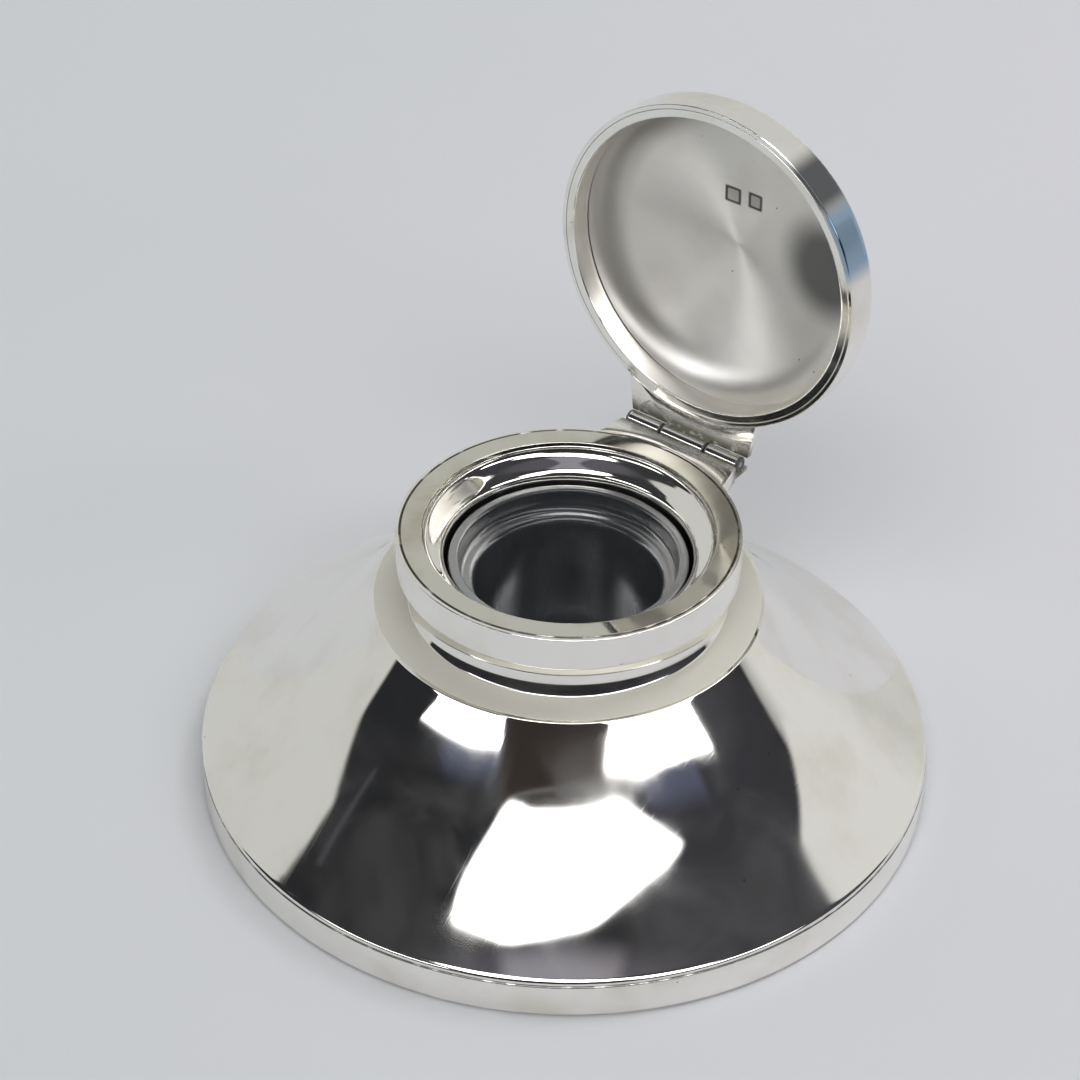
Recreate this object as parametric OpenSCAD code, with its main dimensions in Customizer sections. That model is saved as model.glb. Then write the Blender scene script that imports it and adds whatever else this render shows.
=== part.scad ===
/*
Desk inkstand: a broad spun base that sweeps up to a waisted neck and a flanged collar,
a lift-out glass liner in the well, and a shallow domed lid standing open on its hinge.

Frame: millimetres. The origin is the centre of the underside, where the stand rests.
+Z is up, -Y is the front, and the hinge is at the back on +Y.
The lid is drawn standing open on its stop.
*/

/* [Base] */
// Width of the base across its foot band
base_diameter = 130; // [122:1:142]
// Height of the foot band's top edge above the table
band_top = 6.9; // [6:0.1:8.5]
// Wall of the foot band
band_wall = 1.1; // [0.8:0.1:1.4]
// How far the foot band stands clear of the table
band_clearance = 0.3; // [0.2:0.05:0.5]
// Thickness of the cloth pad under the base
pad_thickness = 1; // [0.8:0.1:1.3]
// How far the base board's top lies below the foot band's top edge
board_setback = 0.9; // [0.6:0.1:1.4]
// Height of the rolled edge above the foot band
roll_height = 1.35; // [1.2:0.05:1.6]
// How far the rolled edge turns in before the slope begins
roll_width = 0.8; // [0.6:0.05:1]

/* [Body] */
// Thickness of the silver sheet
sheet = 0.8; // [0.6:0.05:1]
// Height of the crease where the slope begins
shoulder_height = 37.6; // [35.5:0.1:38.8]
// Downward angle of the slope at the crease
slope_top = 55; // [51:1:58]
// Downward angle of the slope at the rolled edge
slope_foot = 31; // [28:1:36]
// Width of the flat ledge between the cove and the crease
ledge_width = 6.4; // [5.6:0.05:7.5]
// How much higher the ledge's inner edge lies than its outer edge
ledge_rise = 0.1; // [0.05:0.05:0.5]
// How far the cove sweeps out from the neck to the ledge
cove_width = 1.05; // [0.8:0.05:1.3]
// Share of the height between the ledge and the collar that the cove takes
cove_share = 0.44; // [0.38:0.02:0.5]

/* [Collar] */
// Width of the collar
collar_diameter = 59.8; // [58.6:0.1:61.5]
// Height of the collar's flat top above the table
collar_top_height = 51.7; // [50.7:0.1:53]
// Height of the collar's side
collar_height = 6.7; // [6.2:0.1:7.2]
// Width of the collar's flat top
collar_rim = 4.6; // [4.2:0.05:5]
// How far the throat narrows in below the flat top
throat_width = 3.8; // [3.4:0.05:4.2]
// Gap between the throat's skirt and the wall of the neck
neck_clearance = 3.75; // [3.4:0.05:4]
// How far the narrowest part of the throat lies below the collar's top
throat_drop = 5.65; // [5.2:0.05:6.2]
// Length of the straight skirt below the throat
skirt_length = 3; // [2.5:0.1:3.2]

/* [Well and glass] */
// How far the well is set in from the throat
well_step = 2.5; // [2.2:0.05:2.8]
// Thickness of the filling below the well
well_floor = 3; // [2.5:0.1:4]
// Side clearance between the liner and the well
liner_clearance = 0.4; // [0.3:0.05:0.6]
// Side clearance between the liner's mouth and the throat
liner_mouth_clearance = 0.6; // [0.4:0.05:0.8]
// Wall of the liner beside the ink
glass_wall = 2.4; // [2.2:0.05:3]
// Thickness of the glass below the ink
glass_floor = 4; // [3.5:0.1:5.5]
// How far the liner's rim lies below the narrowest part of the throat
liner_drop = 0.2; // [0.1:0.05:0.6]
// Wall of the liner's mouth
mouth_wall = 1.9; // [1.6:0.1:2.2]

/* [Lid] */
// How far the lid's side stands out beyond the collar's
lid_overhang = 0.3; // [0.1:0.05:0.5]
// Height of the lid's straight side
lid_side = 5.4; // [4.8:0.1:6]
// Height of the whole lid
lid_height = 11.8; // [11.2:0.1:12.8]
// How far the crown rises above the lid's rounded edge
crown_rise = 3.4; // [2.8:0.1:4]
// Width of the rounding between the side and the crown
lid_round = 3.3; // [2.8:0.1:4]
// Width of the lid's flat rim
lid_rim = 2.45; // [2.2:0.05:2.8]
// Wall of the lid
lid_wall = 0.9; // [0.7:0.05:1.1]
// Wall of the bezel inside the lid
bezel_wall = 0.65; // [0.5:0.05:0.8]
// How deep the bezel reaches into the lid
bezel_depth = 4.3; // [4:0.1:4.6]
// Width of the rounding at the edge of the lid's dished inside
dish_round = 5.4; // [5:0.1:6]
// Gap left between the shut lid and the collar
lid_gap = 0.08; // [0.06:0.01:0.12]
// Angle from shut to open, where the lid rests on its stop
lid_open = 92.9; // [91:0.1:98]

/* [Hinge] */
// Length of the hinge barrel
hinge_length = 24; // [22:0.1:25]
// Length of the middle knuckle
middle_length = 9.4; // [8:0.1:10.5]
// Width of the hinge barrel
barrel_diameter = 2.9; // [2.7:0.05:3]
// Width of the hinge pin
pin_diameter = 1.2; // [1:0.05:1.4]
// Distance from the collar's side to the hinge pin's centre
hinge_setback = 5; // [4.8:0.05:5.6]
// How far the hinge pin's centre lies below the collar's top
hinge_drop = 1.28; // [1.1:0.02:1.4]
// Gap between two neighbouring knuckles
knuckle_gap = 0.12; // [0.08:0.01:0.2]
// Radial play of the pin in the middle knuckle
pin_play = 0.05; // [0.03:0.01:0.08]
// Thickness of the lid's hinge leaf
leaf_thickness = 1.3; // [1.1:0.05:1.5]
// Thickness of the stop tongue below the barrel
stop_thickness = 0.8; // [0.6:0.05:1]

/* [Hidden] */
$fn = 96;
joint_play = 0.1;
base_r = base_diameter / 2;
board_floor = pad_thickness;
board_top = band_top - board_setback;
board_r = base_r - band_wall - joint_play;
lip_width = 1.4;
pad_r = base_r - band_wall - lip_width - 0.5;
sheet_gap = 0.15;

roll_r = base_r - joint_play;
roll_top = [roll_r - roll_width, band_top + roll_height];
roll_foot = [roll_r, band_top];
roll_turn = [roll_r, band_top + 0.35];
roll_mid = [roll_r, roll_top[1] - roll_width * tan(slope_foot)];

collar_r = collar_diameter / 2;
collar_z = collar_top_height;
collar_floor = collar_z - collar_height;
mouth_r = collar_r - collar_rim;
throat_r = mouth_r - throat_width;
throat_z = collar_z - throat_drop;
skirt_z = throat_z - skirt_length;

neck_r = throat_r + neck_clearance + 2 * sheet;
neck_top = [neck_r, collar_floor];
ledge = [neck_r + cove_width, shoulder_height + ledge_rise];
cove_height = cove_share * (collar_floor - ledge[1]);
cove_top = [neck_r, ledge[1] + cove_height];
cove_mid = [neck_r, ledge[1] + cove_height * 0.45];

shoulder = [ledge[0] + ledge_width, shoulder_height];
slope_dir = [cos(slope_top), -sin(slope_top)];
foot_dir = [cos(slope_foot), -sin(slope_foot)];
slope_run = cross2(roll_top - shoulder, foot_dir) / cross2(slope_dir, foot_dir);
slope_mid = shoulder + slope_run * slope_dir;

well_r = throat_r - well_step;
well_z = board_top + well_floor;
pit_r = throat_r + 0.1;
pit_z = skirt_z - 4.4;
liner_r = well_r - liner_clearance;
liner_mouth_r = throat_r - liner_mouth_clearance;
liner_top = throat_z - liner_drop;
cup_r = liner_r - glass_wall;
cup_z = well_z + glass_floor;
cup_mouth_r = liner_mouth_r - mouth_wall;
flare_z = pit_z + 0.6;

lid_r = collar_r + lid_overhang;
crown_r = lid_r - lid_round;
crown_z = lid_height - crown_rise;
crown_slope = 2 * crown_rise / crown_r;
lid_z = collar_z + lid_gap;

hinge_y = collar_r + hinge_setback;
hinge_z = collar_z - hinge_drop;
barrel_r = barrel_diameter / 2;
pin_r = pin_diameter / 2;
side_length = (hinge_length - middle_length) / 2 - knuckle_gap;
leaf_edge = hinge_y - 0.9;
plate_edge = hinge_y - barrel_r - 0.55;
plate_top = collar_z - 0.45;
stop_reach = barrel_r - 0.05;
leaf_top = lid_z + leaf_thickness;
web_drop = 0.2;
stop_contact = hinge_z - stop_reach * sin(lid_open) + (leaf_top - hinge_z) * cos(lid_open) - 0.05;
stop_top = min(stop_contact, hinge_z - barrel_r - 0.1);
plate_floor = stop_top - stop_thickness;
half_hinge = hinge_length / 2;

curve_steps = 16;
bend_steps = 8;

function cross2(a, b) = a[0] * b[1] - a[1] * b[0];
function turn_right(d) = [d[1], -d[0]];
function unit(v) = v / norm(v);
// a smooth curve from a to c, pulled towards b
function bend(a, b, c, u) = (1 - u) * (1 - u) * a + 2 * u * (1 - u) * b + u * u * c;
function bend_dir(a, b, c, u) = unit((1 - u) * (b - a) + u * (c - b));
function bend_side(a, b, c, u, t) = bend(a, b, c, u) + t * turn_right(bend_dir(a, b, c, u));
function curve(a, b, c, n, from = 0) = [for (i = [from:n]) bend(a, b, c, i / n)];
function curve_side(a, b, c, n, t, from = 0) = [for (i = [from:n]) bend_side(a, b, c, i / n, t)];
// a double curve from a to d, leaving towards b and arriving from c
function swell(a, b, c, d, u) = (1 - u) * bend(a, b, c, u) + u * bend(b, c, d, u);
function swell_dir(a, b, c, d, u) = unit(bend(b - a, c - b, d - c, u));
function swell_line(a, b, c, d, n) = [for (i = [0:n]) swell(a, b, c, d, i / n)];
function swell_side(a, b, c, d, n, t) =
    [for (i = [0:n]) swell(a, b, c, d, i / n) - t * turn_right(swell_dir(a, b, c, d, i / n))];
function backwards(p) = [for (i = [len(p) - 1:-1:0]) p[i]];
// the inner corner of two sheets that meet at an angle
function mitre(corner, d1, d2, t) =
    let (a = turn_right(d1), b = turn_right(d2)) corner + t * (a + b) / (1 + a * b);

ledge_dir = unit(shoulder - ledge);
cove_dir = bend_dir(cove_top, cove_mid, ledge, 1);
shoulder_inside = mitre(shoulder, ledge_dir, slope_dir, sheet);
ledge_inside = mitre(ledge, cove_dir, ledge_dir, sheet);
slope_outside = curve(shoulder, slope_mid, roll_top, curve_steps);
slope_inside = curve_side(shoulder, slope_mid, roll_top, curve_steps, sheet, 1);
roll_outside = curve(roll_top, roll_mid, roll_turn, bend_steps, 1);
cove_outside = curve(cove_top, cove_mid, ledge, bend_steps);
cove_inside = [for (i = [0:bend_steps - 1]) bend_side(cove_top, cove_mid, ledge, i / bend_steps, sheet)];
fill_inside = curve_side(shoulder, slope_mid, roll_top, curve_steps, sheet + sheet_gap, 1);
fill_cove = [for (i = [0:bend_steps - 1])
    bend_side(cove_top, cove_mid, ledge, i / bend_steps, sheet + sheet_gap)];
fill_shoulder = mitre(shoulder, ledge_dir, slope_dir, sheet + sheet_gap);
fill_ledge = mitre(ledge, cove_dir, ledge_dir, sheet + sheet_gap);

throat_start = [mouth_r, collar_z - sheet];
throat_end = [throat_r, throat_z];
throat_pull = [mouth_r - 0.4, collar_z - 0.62 * throat_drop];
throat_push = [throat_r, collar_z - 0.5 * throat_drop];

lid_corner = [lid_r, crown_z - crown_slope * lid_round];
crown_edge = [crown_r, crown_z];
crown_corner = [crown_r / 2, lid_height];
crown_centre = [0, lid_height];
dish_top = lid_height - lid_wall;
dish_edge = [lid_r - lid_rim + 0.15, bezel_depth + 0.4];
dish_r = dish_edge[0] - dish_round;
dish_start = [dish_r, dish_top - crown_rise * pow(dish_r / crown_r, 2)];
dish_pull = dish_start + 0.74 * dish_round * [1, -2 * crown_rise * dish_r / pow(crown_r, 2)];

// piece to draw, or all of them

// Silver strip round the foot, with a lip that holds the base board in
module foot_band() {
    color("gainsboro")
    rotate_extrude()
    polygon(concat(
        [[base_r - band_wall, band_top]],
        [[base_r - 0.35, band_top]],
        curve([base_r - 0.35, band_top], [base_r, band_top], [base_r, band_top - 0.35], 5, 1),
        [[base_r, band_clearance + 0.3]],
        curve([base_r, band_clearance + 0.3], [base_r, band_clearance], [base_r - 0.3, band_clearance], 4, 1),
        [[base_r - band_wall - lip_width, band_clearance]],
        [[base_r - band_wall - lip_width, board_floor]],
        [[base_r - band_wall, board_floor]]
    ));
}

// Spun silver slope from the shoulder crease to the rolled edge
module body_shell() {
    color("silver")
    rotate_extrude()
    polygon(concat(
        slope_outside,
        roll_outside,
        [roll_foot],
        [[roll_r - sheet, band_top]],
        [[roll_r - sheet, band_top + 0.3]],
        backwards(slope_inside),
        [shoulder_inside]
    ));
}

// Straight neck, cove and flat ledge, joined to the slope at the crease
module neck_ring() {
    color("whitesmoke")
    rotate_extrude()
    polygon(concat(
        [neck_top],
        cove_outside,
        [shoulder],
        [shoulder_inside],
        [ledge_inside],
        backwards(cove_inside),
        [[neck_r - sheet, collar_floor]]
    ));
}

// Side and underside of the collar
module collar_band() {
    color("gainsboro")
    rotate_extrude()
    polygon(concat(
        [[collar_r - sheet, collar_z - 0.05]],
        [[collar_r - 0.25, collar_z - 0.05]],
        curve([collar_r - 0.25, collar_z - 0.05], [collar_r, collar_z - 0.05], [collar_r, collar_z - 0.3], 4, 1),
        [[collar_r, collar_floor + 0.7]],
        curve([collar_r, collar_floor + 0.7], [collar_r, collar_floor], [collar_r - 0.7, collar_floor], 6, 1),
        [[neck_r - sheet, collar_floor]],
        [[neck_r - sheet, collar_floor + sheet]],
        [[collar_r - sheet, collar_floor + sheet]]
    ));
}

// Flat ring that closes the collar's top
module collar_top() {
    color("lightgray")
    rotate_extrude()
    polygon([
        [mouth_r, collar_z - sheet],
        [mouth_r, collar_z - 0.15],
        [mouth_r + 0.15, collar_z],
        [collar_r - sheet - 0.3, collar_z],
        [collar_r - sheet - 0.05, collar_z - 0.2],
        [collar_r - sheet - 0.05, collar_z - sheet]
    ]);
}

// Curved throat that leads from the collar down to the glass
module throat_ring() {
    color("silver")
    rotate_extrude()
    polygon(concat(
        swell_line(throat_start, throat_pull, throat_push, throat_end, 12),
        [[throat_r, skirt_z]],
        [[throat_r + sheet, skirt_z]],
        backwards(swell_side(throat_start, throat_pull, throat_push, throat_end, 12, sheet)),
        [[mouth_r + 1.8, collar_z - sheet - 0.6]],
        [[mouth_r + 1.8, collar_z - sheet]]
    ));
}

// Dark weight that fills the body round the well
module pitch_filling() {
    color("dimgray")
    rotate_extrude()
    difference() {
        intersection() {
            polygon(concat(
                [[0, board_top]],
                [[0, collar_floor]],
                [[neck_r - sheet - sheet_gap, collar_floor]],
                fill_cove,
                [fill_ledge],
                [fill_shoulder],
                fill_inside,
                [[fill_inside[curve_steps - 1][0], board_top]]
            ));
            // poured up to the throat's skirt
            square([base_r, skirt_z]);
        }
        translate([0, well_z])
        square([well_r, collar_z]);
        translate([0, pit_z])
        square([pit_r, collar_z]);
    }
}

// Turned board that closes the underside
module base_board() {
    color("sienna")
    translate([0, 0, board_floor])
    cylinder(h = board_top - board_floor, r = board_r);
}

// Cloth pad that the stand rests on
module cloth_pad() {
    color("darkgreen")
    cylinder(h = pad_thickness, r = pad_r);
}

module barrel(from, to, r) {
    translate([from, hinge_y, hinge_z])
    rotate([0, 90, 0])
    cylinder(h = to - from, r = r);
}

// Plate on the collar's back that carries the outer knuckles and ends in the stop
module hinge_plate() {
    color("darkgray")
    difference() {
        union() {
            // flush with the collar at the front, cut short of the barrel
            translate([0, 0, plate_floor])
            linear_extrude(plate_top - plate_floor)
            polygon([
                [-half_hinge - 1.7, 0],
                [half_hinge + 1.7, 0],
                [half_hinge + 1.7, collar_r - 3.2],
                [half_hinge + 0.3, plate_edge],
                [-half_hinge - 0.3, plate_edge],
                [-half_hinge - 1.7, collar_r - 3.2]
            ]);
            // webs below the outer knuckles
            for (s = [-1, 1])
                translate([s * (half_hinge - side_length / 2), (plate_edge + hinge_y) / 2, 0])
                translate([-side_length / 2, (plate_edge - hinge_y) / 2 - 0.5, plate_floor])
                cube([side_length, hinge_y - plate_edge + 0.5, hinge_z - 0.3 - plate_floor]);
            // stop tongue that the open lid's leaf rests on
            translate([-half_hinge, plate_edge - 0.5, plate_floor])
            cube([hinge_length, hinge_y + 2.4 - plate_edge + 0.5, stop_thickness]);
        }
        barrel(-half_hinge - 3, half_hinge + 3, barrel_r);
        translate([0, 0, -1])
        cylinder(h = collar_z + 2, r = collar_r);
    }
}

module side_knuckle(s) {
    difference() {
        barrel(s < 0 ? -half_hinge : half_hinge - side_length, s < 0 ? -half_hinge + side_length : half_hinge,
            barrel_r);
        barrel(-half_hinge - 1, half_hinge + 1, pin_r);
    }
}

// Left knuckle, fixed to the hinge plate
module knuckle_left() {
    color("gainsboro")
    side_knuckle(-1);
}

// Right knuckle, fixed to the hinge plate
module knuckle_right() {
    color("gainsboro")
    side_knuckle(1);
}

// Steel pin, held in the outer knuckles
module hinge_pin() {
    color("slategray")
    barrel(-half_hinge, half_hinge, pin_r);
}

// Turns the lid's pieces from shut to open about the pin
module opened() {
    translate([0, hinge_y, hinge_z])
    rotate([-lid_open, 0, 0])
    translate([0, -hinge_y, -hinge_z])
    children();
}

// Shallow domed lid with a straight side
module lid_dome() {
    color("silver")
    opened()
    translate([0, 0, lid_z])
    rotate_extrude()
    polygon(concat(
        [[lid_r - lid_wall, 0]],
        [[lid_r - 0.25, 0]],
        [[lid_r, 0.25]],
        [[lid_r, lid_side]],
        curve([lid_r, lid_side], lid_corner, crown_edge, bend_steps, 1),
        curve(crown_edge, crown_corner, crown_centre, bend_steps, 1),
        curve([0, dish_top], [dish_r / 2, dish_top], dish_start, bend_steps),
        curve(dish_start, dish_pull, dish_edge, bend_steps, 1),
        [[lid_r - lid_wall, dish_edge[1]]]
    ));
}

// Bezel inside the lid: its flat rim and inner wall
module lid_bezel() {
    color("whitesmoke")
    opened()
    translate([0, 0, lid_z])
    rotate_extrude()
    polygon([
        [lid_r - lid_rim, 0.15],
        [lid_r - lid_rim + 0.15, 0],
        [lid_r - lid_wall, 0],
        [lid_r - lid_wall, 0.9],
        [lid_r - lid_rim + bezel_wall, 0.9],
        [lid_r - lid_rim + bezel_wall, bezel_depth - 0.3],
        [lid_r - lid_rim, bezel_depth]
    ]);
}

// Leaf on the lid that carries the middle knuckle and swings down onto the stop
module lid_leaf() {
    color("darkgray")
    opened()
    difference() {
        union() {
            translate([0, 0, lid_z])
            linear_extrude(leaf_thickness)
            polygon([
                [-half_hinge - 1.5, 0],
                [half_hinge + 1.5, 0],
                [half_hinge + 1.5, lid_r - 3],
                [half_hinge + 0.4, leaf_edge],
                [-half_hinge - 0.4, leaf_edge],
                [-half_hinge - 1.5, lid_r - 3]
            ]);
            translate([-middle_length / 2, leaf_edge - 0.5, lid_z])
            cube([middle_length, hinge_y + stop_reach - leaf_edge + 0.5, leaf_thickness]);
            translate([-middle_length / 2, hinge_y - barrel_r - 0.2, hinge_z + web_drop])
            cube([middle_length, barrel_r + 0.2 + stop_reach, lid_z - hinge_z]);
        }
        barrel(-half_hinge - 3, half_hinge + 3, barrel_r);
        translate([0, 0, lid_z - 1])
        cylinder(h = leaf_thickness + 2, r = lid_r);
    }
}

// Middle knuckle, fixed to the lid's leaf
module knuckle_middle() {
    color("gainsboro")
    opened()
    difference() {
        barrel(-middle_length / 2, middle_length / 2, barrel_r);
        barrel(-middle_length, middle_length, pin_r + pin_play);
    }
}

// Lift-out glass liner that holds the ink
module glass_liner() {
    color("lightcyan", 0.5)
    rotate_extrude()
    polygon(concat(
        [[0, well_z]],
        [[liner_r - 1.6, well_z]],
        curve([liner_r - 1.6, well_z], [liner_r, well_z], [liner_r, well_z + 1.6], 5, 1),
        [[liner_r, flare_z]],
        swell_line([liner_r, flare_z], [liner_r, flare_z + 1.6], [liner_mouth_r, flare_z + 0.8],
            [liner_mouth_r, flare_z + 2.6], 8),
        [[liner_mouth_r, liner_top - 0.7]],
        curve([liner_mouth_r, liner_top - 0.7], [liner_mouth_r, liner_top],
            [liner_mouth_r - mouth_wall / 2, liner_top], 5, 1),
        curve([liner_mouth_r - mouth_wall / 2, liner_top], [cup_mouth_r, liner_top],
            [cup_mouth_r, liner_top - 0.7], 5, 1),
        swell_line([cup_mouth_r, liner_top - 2.7], [cup_mouth_r, liner_top - 4.7],
            [cup_r + 0.2, liner_top - 3.9], [cup_r, liner_top - 6.2], 8),
        [[cup_r, cup_z + 5]],
        curve([cup_r, cup_z + 5], [cup_r, cup_z], [cup_r - 6, cup_z], 8, 1),
        [[0, cup_z]]
    ));
}

foot_band();
body_shell();
neck_ring();
collar_band();
collar_top();
throat_ring();
pitch_filling();
base_board();
cloth_pad();
hinge_plate();
knuckle_left();
knuckle_right();
hinge_pin();
lid_dome();
lid_bezel();
lid_leaf();
knuckle_middle();
glass_liner();
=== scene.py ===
# %% [markdown]
# # A silver desk inkstand
#
# A small desk inkstand: a broad round foot sweeps up to a waisted neck and a flanged
# collar, a glass liner holds the ink, and a shallow domed lid stands open on its hinge.
# Almost all of it was spun, that is, pressed out of sheet silver on a lathe. This lesson
# does the same in Blender: it draws half of a section and turns it about an axis.
#
# First the imported model is loaded. It is the fixed frame that every piece has to fit.

# %% Load the imported model
import math

import bmesh
import bpy
from mathutils import Matrix, Vector
from mathutils.geometry import interpolate_bezier


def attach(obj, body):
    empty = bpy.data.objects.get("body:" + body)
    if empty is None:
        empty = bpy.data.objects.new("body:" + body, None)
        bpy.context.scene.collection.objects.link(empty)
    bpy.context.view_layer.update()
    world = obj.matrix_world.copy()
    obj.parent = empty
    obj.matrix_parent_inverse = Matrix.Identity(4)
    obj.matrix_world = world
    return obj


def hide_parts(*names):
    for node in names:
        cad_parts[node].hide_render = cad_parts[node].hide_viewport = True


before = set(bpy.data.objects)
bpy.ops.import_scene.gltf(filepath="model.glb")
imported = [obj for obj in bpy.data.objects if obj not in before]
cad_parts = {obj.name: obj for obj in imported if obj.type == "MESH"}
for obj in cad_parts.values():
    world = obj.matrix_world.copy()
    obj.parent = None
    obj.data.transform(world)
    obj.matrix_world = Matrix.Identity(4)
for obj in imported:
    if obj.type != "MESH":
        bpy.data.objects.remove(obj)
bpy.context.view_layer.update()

# %% [markdown]
# ## The camera
#
# A camera can be placed by eye, or from its distance and angles. Here the angles are
# known: the camera looks from the right of the front, 38 degrees above the table. Three
# axes are worked out from the angles, to the camera's right, up and back, and they become
# the columns of its matrix.

# %% Camera
MM = 0.001
CAMERA_AZIMUTH = math.radians(36.08)
CAMERA_ELEVATION = math.radians(37.853)
CAMERA_ROLL = math.radians(1.014)
CAMERA_DISTANCE = 549.93 * MM
CAMERA_AIM_RIGHT = -4.97 * MM
CAMERA_AIM_HEIGHT = 49.276 * MM

back = Vector((math.sin(CAMERA_AZIMUTH) * math.cos(CAMERA_ELEVATION),
               -math.cos(CAMERA_AZIMUTH) * math.cos(CAMERA_ELEVATION),
               math.sin(CAMERA_ELEVATION)))
level = Vector((math.cos(CAMERA_AZIMUTH), math.sin(CAMERA_AZIMUTH), 0))
aim = level * CAMERA_AIM_RIGHT + Vector((0, 0, CAMERA_AIM_HEIGHT))
turn = Matrix.Rotation(CAMERA_ROLL, 3, back)
right = turn @ level
up = turn @ back.cross(level)

lens = bpy.data.cameras.new("photo_camera")
lens.sensor_width = 36
lens.lens = 36 * 3200 / 1080
camera = bpy.data.objects.new("photo_camera", lens)
camera.matrix_world = Matrix.Translation(aim + back * CAMERA_DISTANCE) @ Matrix((right, up, back)).transposed().to_4x4()
bpy.context.scene.collection.objects.link(camera)
bpy.context.scene.camera = camera
bpy.context.scene.view_settings.view_transform = "Standard"
print("camera at, mm:", [round(value / MM, 1) for value in camera.location])

# %% [markdown]
# ## Colours and nodes
#
# Colours are written as the hex values that a screen shows. Shaders work in linear light,
# so one function converts them. Another adds a node, sets its own properties, and fills
# its inputs with numbers or with the outputs of earlier nodes.

# %% Colour and node helpers
def shade(hex_text):
    """Turn an sRGB hex value into a linear colour."""
    channels = [int(hex_text[i:i + 2], 16) / 255 for i in (0, 2, 4)]
    return [c / 12.92 if c <= 0.04045 else ((c + 0.055) / 1.055) ** 2.4 for c in channels] + [1]


def add(tree, kind, inputs=(), stops=(), **settings):
    """Add a shader node; an input may be a value, a socket or a whole earlier node."""
    node = tree.nodes.new("ShaderNode" + kind)
    for name, value in settings.items():
        setattr(node, name, value)
    while stops and len(node.color_ramp.elements) < len(stops):
        node.color_ramp.elements.new(1)
    for element, (place, value) in zip(node.color_ramp.elements if stops else (), stops):
        element.position, element.color = place, value
    live = [socket for socket in node.inputs if socket.enabled]
    for key, value in dict(inputs).items():
        socket = live[key] if isinstance(key, int) else next(s for s in live if s.name == key)
        if isinstance(value, bpy.types.Node):
            value = next(output for output in value.outputs if output.enabled)
        if isinstance(value, bpy.types.NodeSocket):
            tree.links.new(value, socket)
        else:
            socket.default_value = value
    return node


# %% [markdown]
# ## The studio
#
# Polished silver has hardly any colour of its own: it shows the room. So the room matters
# as much as the metal. Behind and beside the stand is a pale backdrop. In front is the
# dark end of the studio, with two strip windows and one broad soft light overhead, and a
# skylight behind throws the soft shadow forwards.
#
# Each of these could be a lamp or a plane. They are drawn in the world's shader instead,
# by azimuth and elevation, so that nothing gets in the way of another view. A patch is a
# convex shape, and its mask is the product of one soft edge for each of its sides.

# %% World helpers
world = bpy.data.worlds.new("soft_studio")
bpy.context.scene.world = world
world.use_nodes = True
sky = world.node_tree
sky.nodes.clear()

direction = add(sky, "SeparateXYZ", {0: add(sky, "TexCoord").outputs["Generated"]})
front = add(sky, "Math", {0: direction.outputs["Y"], 1: -1}, operation="MULTIPLY")
azimuth = add(sky, "Math", {0: direction.outputs["X"], 1: front}, operation="ARCTAN2")
elevation = add(sky, "Math", {0: direction.outputs["Z"]}, operation="ARCSINE")
azimuth_degrees = add(sky, "Math", {0: azimuth}, operation="DEGREES")
elevation_degrees = add(sky, "Math", {0: elevation}, operation="DEGREES")
place = add(sky, "CombineXYZ", {"X": azimuth_degrees, "Y": elevation_degrees, "Z": 1})


def patch(corners, softness):
    """Mask a convex patch of the room; corners run anticlockwise, in degrees."""
    mask = None
    for (a0, e0), (a1, e1) in zip(corners, corners[1:] + corners[:1]):
        length = math.hypot(a1 - a0, e1 - e0)
        inward = (-(e1 - e0) / length, (a1 - a0) / length)
        offset = -(inward[0] * a0 + inward[1] * e0)
        distance = add(sky, "VectorMath", {0: place, 1: (*inward, offset)}, operation="DOT_PRODUCT")
        edge = add(sky, "MapRange", {"Value": distance, "From Min": -softness, "From Max": softness},
                   interpolation_type="SMOOTHSTEP")
        mask = edge if mask is None else add(sky, "Math", {0: mask, 1: edge}, operation="MULTIPLY")
    return mask


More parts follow.
